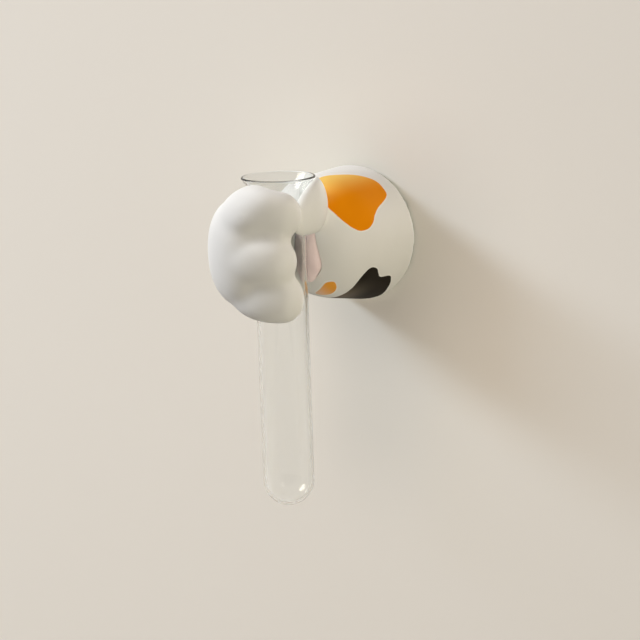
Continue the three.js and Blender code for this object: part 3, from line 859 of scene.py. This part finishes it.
def combined(tree, operation, first, second):
    """Two values put together by an operation of the math node."""
    made = node(tree, "ShaderNodeMath", operation=operation)
    tree.links.new(first, made.inputs[0])
    tree.links.new(second, made.inputs[1])
    return made.outputs["Value"]


def added(tree, first, second):
    return combined(tree, "ADD", first, second)


def alignment(tree, vector, towards):
    """How far a vector points along a fixed direction, 1 for straight along it."""
    made = node(tree, "ShaderNodeVectorMath", operation="DOT_PRODUCT")
    made.inputs[1].default_value = towards
    tree.links.new(vector, made.inputs[0])
    return made.outputs["Value"]


def mixed(tree, share, first, second):
    """Mixes two colours, each a colour or the output of a node."""
    made = node(tree, "ShaderNodeMix", data_type="RGBA")
    for name, colour in (("A", first), ("B", second)):
        socket = next(s for s in made.inputs if s.name == name and s.type == "RGBA")
        if isinstance(colour, tuple):
            socket.default_value = (*colour, 1)
        else:
            tree.links.new(colour, socket)
    tree.links.new(share, next(s for s in made.inputs if s.name == "Factor" and s.type == "VALUE"))
    return next(s for s in made.outputs if s.type == "RGBA")


def show_mix(tree, share, first, second, output="Material Output"):
    """Sends a mix of two shaders to the surface."""
    made = tree.nodes.new("ShaderNodeMixShader")
    for source, socket in zip((share, first, second), made.inputs):
        tree.links.new(source, socket)
    tree.links.new(made.outputs["Shader"], tree.nodes[output].inputs["Surface"])


def clear_shader(tree, colour=(1.0, 1.0, 1.0)):
    made = tree.nodes.new("ShaderNodeBsdfTransparent")
    made.inputs["Color"].default_value = (*colour, 1)
    return made.outputs["BSDF"]


def seen_plainly(tree, path):
    """1 for what the camera sees, straight or by way of glass and metal."""
    seen = added(tree, path["Is Camera Ray"], path["Is Glossy Ray"])
    return added(tree, seen, path["Is Transmission Ray"])


def bump(tree, shader, height, distance, strength=1.0):
    made = node(tree, "ShaderNodeBump", strength=strength, distance=distance)
    tree.links.new(height, made.inputs["Height"])
    tree.links.new(made.outputs["Normal"], shader.inputs["Normal"])


def coat(tree, shader, colour, roughness):
    """Gives a shader the colour and roughness that nodes work out."""
    tree.links.new(colour, shader.inputs["Base Color"])
    tree.links.new(roughness, shader.inputs["Roughness"])


def stored(tree, name):
    """The values that the mesh keeps under this name."""
    return node(tree, "ShaderNodeAttribute", attribute_name=name).outputs["Fac"]


# Materials

def painted_resin():
    made, tree, shader = new_material("painted_resin")
    place = object_place(tree)
    wide = noise(tree, place, scale=45, detail=2)
    fine = noise(tree, place, scale=900, detail=4)
    waver = spread(tree, noise(tree, place, scale=260, detail=2), -EDGE_WAVER, EDGE_WAVER)
    white = mixed(tree, wide, (0.80, 0.795, 0.775), (0.85, 0.845, 0.83))
    orange = mixed(tree, wide, (0.84, 0.255, 0.0005), (0.91, 0.30, 0.001))
    # Painted sheen: paler orange along the top of the arm and over the small patch
    orange = mixed(tree, stored(tree, "orange_top_sheen"), orange, (1.0, 0.66, 0.165))
    black = mixed(tree, wide, (0.010, 0.007, 0.003), (0.016, 0.012, 0.007))
    halo = (0.90, 0.895, 0.87)
    black_sheen_colour = (0.72, 0.60, 0.46)
    colour = white
    relief = spread(tree, fine, 0, RESIN_GRAIN)
    # Each patch: a light halo at its edge, then its paint, mixed towards a lighter colour where a sheen is
    # painted on
    for name, paint, sheen_colour, most in (
        ("orange", orange, white, SMALL_LOW_SHEEN),
        ("black", black, black_sheen_colour, BLACK_LOW_SHEEN),
    ):
        edge = added(tree, stored(tree, name + "_depth"), waver)
        colour = mixed(tree, spread(tree, edge, 0, 1, *HALO_EDGE), colour, halo)
        with_sheen = mixed(tree, spread(tree, stored(tree, name + "_fade"), 0, most), paint, sheen_colour)
        colour = mixed(tree, spread(tree, edge, 0, 1, *COVER_EDGE), colour, with_sheen)
        relief = added(tree, relief, spread(tree, edge, 0, COAT_THICK, *COAT_EDGE))
    coat(tree, shader, colour, spread(tree, wide, 0.55, 0.65))
    shader.inputs["Specular IOR Level"].default_value = 0.08
    bump(tree, shader, relief, distance=MM)
    return made


def pink_silicone():
    made, tree, shader = new_material("pink_silicone")
    place = object_place(tree)
    colour = mixed(tree, noise(tree, place, scale=160), (0.86, 0.70, 0.71), (0.89, 0.745, 0.76))
    coat(tree, shader, colour, spread(tree, noise(tree, place, scale=500), 0.5, 0.65))
    bump(tree, shader, noise(tree, place, scale=1400), distance=0.08 * MM)
    return made


def clear_glass():
    """Glass that is a little darker in the flare, and that lets the lamps' light through."""
    made, tree, shader = new_material("clear_glass")
    shader.inputs["Transmission Weight"].default_value = 1
    shader.inputs["IOR"].default_value = 1.42
    height = tree.nodes.new("ShaderNodeSeparateXYZ")
    tree.links.new(object_place(tree), height.inputs["Vector"])
    flare = spread(tree, height.outputs["Z"], 0, 1, FLARE_START * MM, RIM_HEIGHT * MM)
    tint = mixed(tree, flare, (0.985, 0.992, 0.988), (0.86, 0.87, 0.865))
    drawn = object_place(tree, stretch=(1, 1, 0.06))
    coat(tree, shader, tint, spread(tree, noise(tree, drawn, scale=220), 0.0, 0.03))
    bump(tree, shader, noise(tree, drawn, scale=160), distance=0.02 * MM)
    shadow = light_path(tree)["Is Shadow Ray"]
    show_mix(tree, shadow, shader.outputs["BSDF"], clear_shader(tree, (0.97, 0.975, 0.97)))
    return made


def zinc_steel():
    made, tree, shader = new_material("zinc_steel")
    shader.inputs["Metallic"].default_value = 1
    brushed = noise(tree, object_place(tree, stretch=(1, 12, 1)), scale=500, detail=4)
    colour = mixed(tree, brushed, (0.50, 0.505, 0.51), (0.66, 0.66, 0.655))
    coat(tree, shader, colour, spread(tree, brushed, 0.26, 0.42))
    bump(tree, shader, brushed, distance=0.03 * MM)
    return made


def white_plastic():
    made, tree, shader = new_material("white_plastic")
    place = object_place(tree)
    colour = mixed(tree, noise(tree, place, scale=60), (0.76, 0.745, 0.70), (0.81, 0.80, 0.765))
    coat(tree, shader, colour, spread(tree, noise(tree, place, scale=300), 0.4, 0.55))
    bump(tree, shader, noise(tree, place, scale=2600), distance=0.06 * MM)
    return made


def clear_rubber():
    made, tree, shader = new_material("clear_rubber")
    place = object_place(tree)
    colour = mixed(tree, noise(tree, place, scale=400), (0.60, 0.61, 0.59), (0.68, 0.69, 0.67))
    coat(tree, shader, colour, spread(tree, noise(tree, place, scale=900), 0.3, 0.45))
    shader.inputs["Transmission Weight"].default_value = 0.35
    return made


def foam_tape():
    made, tree, shader = new_material("foam_tape")
    cells = node(tree, "ShaderNodeTexVoronoi", scale=2200)
    tree.links.new(object_place(tree), cells.inputs["Vector"])
    colour = mixed(tree, cells.outputs["Distance"], (0.84, 0.83, 0.80), (0.70, 0.69, 0.655))
    tree.links.new(colour, shader.inputs["Base Color"])
    shader.inputs["Roughness"].default_value = 0.9
    bump(tree, shader, cells.outputs["Distance"], distance=0.1 * MM)
    return made


def wall_paint():
    """Wall paint that throws less light back on the object, and is clear when seen from behind."""
    made, tree, shader = new_material("wall_paint")
    mottle = noise(tree, object_place(tree), scale=3, detail=4)
    colour = mixed(tree, mottle, (0.688, 0.676, 0.560), (0.704, 0.694, 0.580))
    colour = mixed(tree, light_path(tree)["Is Diffuse Ray"], colour, (0.36, 0.345, 0.285))
    tree.links.new(colour, shader.inputs["Base Color"])
    shader.inputs["Roughness"].default_value = 0.9
    shader.inputs["Specular IOR Level"].default_value = 0.1
    behind = tree.nodes.new("ShaderNodeNewGeometry").outputs["Backfacing"]
    show_mix(tree, behind, shader.outputs["BSDF"], clear_shader(tree))
    return made


def floor_paint():
    """Pale floor paint that throws less light back on the object than it shows."""
    made, tree, shader = new_material("floor_paint")
    path = light_path(tree)
    mottle = noise(tree, object_place(tree), scale=2, detail=4)
    colour = mixed(tree, mottle, (0.46, 0.445, 0.415), (0.50, 0.485, 0.455))
    colour = mixed(tree, path["Is Diffuse Ray"], colour, (0.25, 0.24, 0.22))
    tree.links.new(colour, shader.inputs["Base Color"])
    shader.inputs["Roughness"].default_value = 0.8
    shader.inputs["Emission Color"].default_value = (*BACKDROP_COLOUR, 1)
    glow = spread(tree, seen_plainly(tree, path), 0.0, FLOOR_GLOW)
    tree.links.new(glow, shader.inputs["Emission Strength"])
    return made


def dressed(obj, material):
    obj.data.materials.clear()
    obj.data.materials.append(material)
    return obj


# Object

finishes = {
    "painted_resin": painted_resin(),
    "pink_silicone": pink_silicone(),
    "clear_glass": clear_glass(),
    "steel": zinc_steel(),
    "white_plastic": white_plastic(),
    "clear_rubber": clear_rubber(),
    "foam_tape": foam_tape(),
}
slots = {subpart["node"]: subpart["material_slot"] for subpart in frame["record"]["subparts"]}


def installed(piece, body, name):
    """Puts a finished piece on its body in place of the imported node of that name."""
    dressed(piece, finishes[slots[name]])
    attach(piece, body)
    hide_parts(name)
    return piece


installed(paw_casting(), "paw", "paw_casting")
installed(glass_tube(), "tube", "glass_tube")

cushions = [installed(palm_pad(), "paw", "palm_pad")]
cushions += [installed(digit_pad(name), "paw", name) for name in PADS]
cushions.append(installed(foam_disc(), "wall_mount", "adhesive_pad"))

bumper_places = at_arm_end(count=3, radius=ARM_BASE_RADIUS - REAR_WALL / 2, start=-90)
for i, place in enumerate(bumper_places, 1):
    installed(bumper(f"bumper_{i}", place), "paw", f"bumper_{i}")

cover_places = at_arm_end(count=3, radius=COVER_SCREW_RADIUS, start=90)
keyhole_places = [(-KEYHOLE_SCREW_X, KEYHOLE_SCREW_Z), (KEYHOLE_SCREW_X, KEYHOLE_SCREW_Z)]
for kind, places, seat_y, length in (
    ("cover_screw", cover_places, COVER_SEAT_Y, COVER_SCREW_LENGTH),
    ("keyhole_screw", keyhole_places, KEYHOLE_SEAT_Y, KEYHOLE_SCREW_LENGTH),
):
    for i, place in enumerate(places, 1):
        installed(screw(f"{kind}_{i}", place, seat_y, length), "paw", f"{kind}_{i}")

for name in ("wall_plate", "hanging_stud", "back_cover", "keyhole_plate"):
    rigid = dressed(frame["nodes"][name], finishes[slots[name]])
    rounding = rigid.modifiers.new("edges", "BEVEL")
    rounding.width = EDGE_ROUND * MM
    rounding.segments = 2
    rounding.limit_method = "ANGLE"
    rounding.angle_limit = math.radians(METAL_SHARP_ANGLE)

# Stage

wall = mesh_object("wall", [(x, WALL_Y, z) for x, z in oblong(STAGE_X, WALL_Z)], [(0, 1, 2, 3)])
dressed(wall, wall_paint())
wall.visible_shadow = False
floor = mesh_object("floor", [(x, y, FLOOR_Z) for x, y in oblong(STAGE_X, FLOOR_Y)], [(0, 1, 2, 3)])
dressed(floor, floor_paint())


# Light

def direction(azimuth, elevation):
    """From the object outwards."""
    a, e = math.radians(azimuth), math.radians(elevation)
    return Vector((math.sin(a) * math.cos(e), -math.cos(a) * math.cos(e), math.sin(e)))


def area_light(name, azimuth, elevation, distance, size, energy, colour, height=None):
    """A round lamp that faces the object, or an oblong one where it has a height."""
    lamp = bpy.data.lights.new(name, "AREA")
    lamp.shape = "DISK"
    lamp.size = size
    if height:
        lamp.shape = "RECTANGLE"
        lamp.size_y = height
    lamp.energy = energy
    lamp.color = colour
    made = bpy.data.objects.new(name, lamp)
    bpy.context.scene.collection.objects.link(made)
    towards = direction(azimuth, elevation)
    made.location = TARGET + towards * distance
    made.rotation_mode = "QUATERNION"
    made.rotation_quaternion = (-towards).to_track_quat("-Z", "Y")
    made.visible_camera = False
    return made


def receivers(lamp, state):
    """Keeps the wall out of a lamp's light, or gives the lamp to the wall alone."""
    group = bpy.data.collections.new(lamp.name + "_receivers")
    lamp.light_linking.receiver_collection = group
    group.objects.link(wall)
    group.collection_objects[0].light_linking.link_state = state


key = area_light("key", *KEY_DIRECTION, distance=2.5, size=1.2, energy=61.0, colour=(0.985, 1.0, 0.99))
receivers(key, "EXCLUDE")
wall_key = area_light(
    "wall_key", -63, 29, distance=2.5, size=2.7, height=0.4, energy=60.0, colour=(0.62, 0.73, 0.965)
)
receivers(wall_key, "INCLUDE")
wall_fill = area_light("wall_fill", -10, 5, distance=2.0, size=2.4, energy=36.0, colour=(1.0, 0.85, 0.80))
receivers(wall_fill, "INCLUDE")
fill = area_light("fill", 50, 10, distance=1.6, size=1.2, energy=1.5, colour=(0.80, 0.92, 1.0))
side = area_light("side", 66, -6, distance=1.6, size=1.2, energy=10.6, colour=(1.0, 0.91, 0.63))
receivers(side, "EXCLUDE")
top_side = area_light("top_side", 85, 62, distance=1.6, size=1.2, energy=7.0, colour=(1.0, 0.90, 0.78))
receivers(top_side, "EXCLUDE")
area_light("behind", 180, 0, distance=1.5, size=1.0, energy=15.0, colour=(1.0, 0.98, 0.95))

# A lamp that rays find through the glass would light the resin behind it twice
for lamp in (key, fill, side, top_side, wall_fill):
    lamp.visible_glossy = False
    lamp.visible_transmission = False


def studio_world():
    """Pale behind the object. Glass and metal also see a darker room on the camera's side and a softbox."""
    world = bpy.data.worlds.new("studio")
    world.use_nodes = True
    sky = world.node_tree
    path = light_path(sky)
    around = sky.nodes.new("ShaderNodeTexCoord").outputs["Generated"]
    room = spread(sky, alignment(sky, around, ROOM_SIDE), BACKDROP, ROOM_SHADE, *ROOM_EDGE)
    plain = spread(sky, path["Is Camera Ray"], 0.0, BACKDROP)
    softbox = spread(sky, alignment(sky, around, direction(*KEY_DIRECTION)), 0.0, SOFTBOX, *SOFTBOX_EDGE)
    unlit = added(sky, path["Is Camera Ray"], path["Diffuse Depth"])
    glint = combined(sky, "MULTIPLY", softbox, spread(sky, unlit, 1.0, 0.0))
    backdrop = sky.nodes.new("ShaderNodeBackground")
    backdrop.inputs["Color"].default_value = (*BACKDROP_COLOUR, 1)
    strength = added(sky, combined(sky, "MAXIMUM", room, plain), glint)
    sky.links.new(strength, backdrop.inputs["Strength"])
    ambient = sky.nodes["Background"]
    ambient.inputs["Color"].default_value = (*AMBIENT_COLOUR, 1)
    ambient.inputs["Strength"].default_value = AMBIENT
    seen = seen_plainly(sky, path)
    show_mix(sky, seen, ambient.outputs["Background"], backdrop.outputs["Background"], output="World Output")
    return world


bpy.context.scene.world = studio_world()


# Camera

def photo_camera():
    """The camera at the photograph's view."""
    made = bpy.data.objects.new("camera", bpy.data.cameras.new("camera"))
    bpy.context.scene.collection.objects.link(made)
    made.data.sensor_width = CAMERA_SENSOR
    made.data.lens = CAMERA_LENS
    made.data.clip_start, made.data.clip_end = CAMERA_CLIP
    azimuth, roll = math.radians(CAMERA_AZIMUTH), math.radians(CAMERA_ROLL)
    back = direction(CAMERA_AZIMUTH, CAMERA_ELEVATION)
    right = Vector((math.cos(azimuth), math.sin(azimuth), 0))
    up = back.cross(right)
    across = right * math.cos(roll) + up * math.sin(roll)
    upward = up * math.cos(roll) - right * math.sin(roll)
    place = Matrix((across, upward, back)).transposed().to_4x4()
    place.translation = TARGET + back * CAMERA_DISTANCE
    made.matrix_world = place
    return made


bpy.context.scene.camera = photo_camera()
bpy.context.scene.view_settings.view_transform = "Standard"
